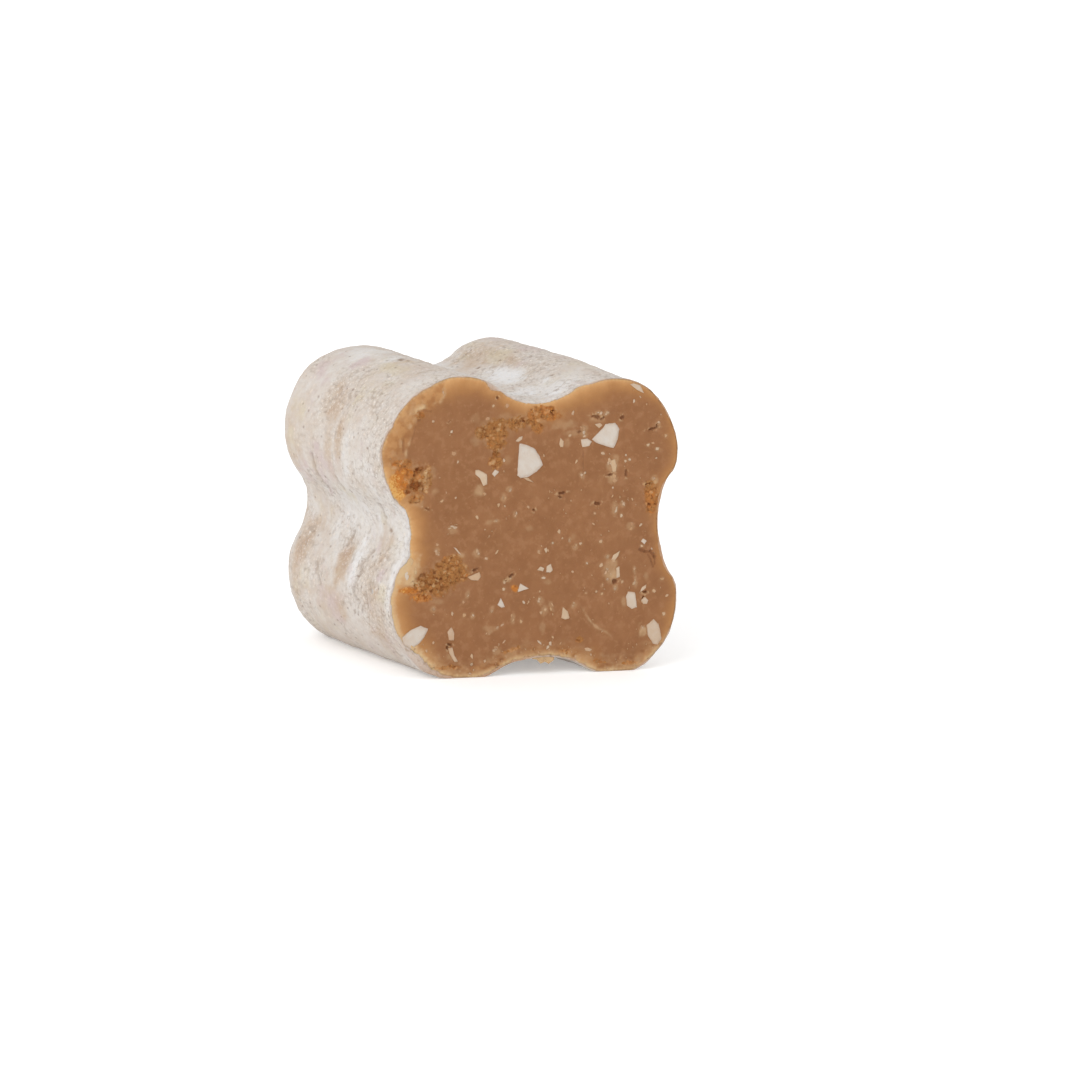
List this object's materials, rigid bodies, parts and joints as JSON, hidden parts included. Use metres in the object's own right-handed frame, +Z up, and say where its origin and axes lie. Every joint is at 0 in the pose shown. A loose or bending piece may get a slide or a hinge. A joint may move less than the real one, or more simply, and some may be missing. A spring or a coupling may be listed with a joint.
{
  "type": "chocolate truffle",
  "caption": "Half of a clover-section chocolate praline truffle, cut across, with an icing-sugar coat, hazelnut pieces and biscuit crumb in the cut face.",
  "frame": {"origin": "centre of the bounding box's bottom face, on the surface that the two lower lobes rest on", "axes": "+Z up, +Y along the truffle from the cut face to the rounded end, +X to the right as seen from the cut face"},
  "size_m": [0.0226, 0.0194, 0.0211],
  "materials": {
    "sugar_coat": "matte",
    "praline": "satin",
    "nut": "satin",
    "biscuit": "matte"
  },
  "bodies": {
    "root": {"truffle": "sugar_coat"}
  },
  "joints": []
}
